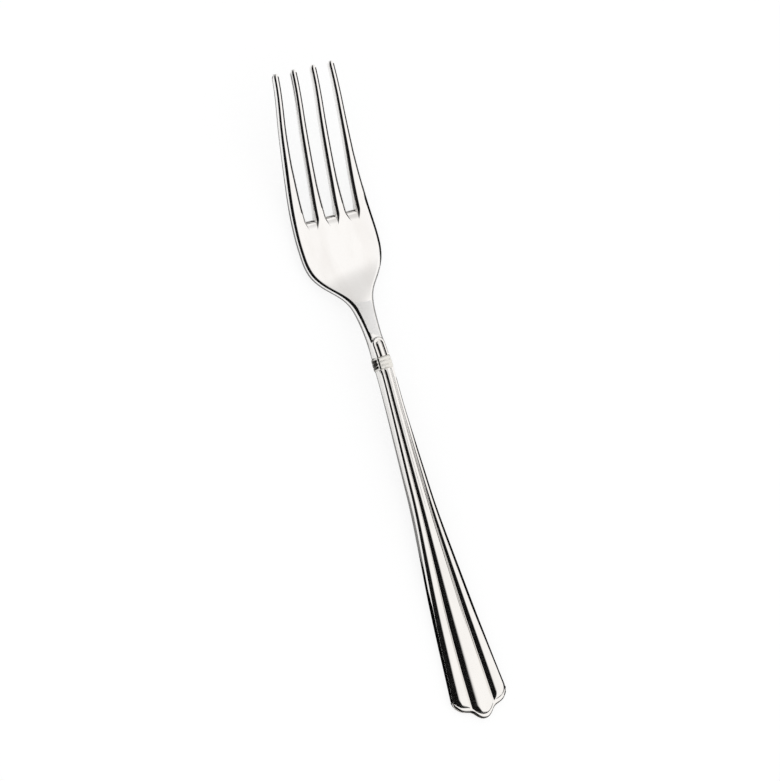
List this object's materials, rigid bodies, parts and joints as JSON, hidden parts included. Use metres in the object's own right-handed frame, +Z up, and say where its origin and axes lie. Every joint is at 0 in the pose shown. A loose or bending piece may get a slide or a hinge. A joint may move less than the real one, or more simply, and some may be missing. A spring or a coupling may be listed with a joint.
{
  "type": "dinner fork",
  "caption": "One-piece polished steel dinner fork with long tapering tines, a shallow bowl, and a reeded handle with an arch, a banded collar and a scalloped end.",
  "frame": {"origin": "centre of the fork's outline in plan, on the surface that it lies on, with the fork face up", "axes": "+Y along the fork towards the tips of the tines, +Z up out of the face, +X to the right seen from above with the tines away"},
  "size_m": [0.0272, 0.205, 0.0163],
  "materials": {
    "polished_steel": "mirror polished stainless steel",
    "reeded_steel": "mirror polished stainless steel over pressed reeds",
    "collar_steel": "polished stainless steel with slightly dulled grooves"
  },
  "bodies": {
    "root": {"outer_left_tine": "polished_steel", "inner_left_tine": "polished_steel", "inner_right_tine": "polished_steel", "outer_right_tine": "polished_steel", "bowl": "polished_steel", "neck": "polished_steel", "reed_arch": "reeded_steel", "collar": "collar_steel", "handle": "reeded_steel"}
  },
  "joints": []
}
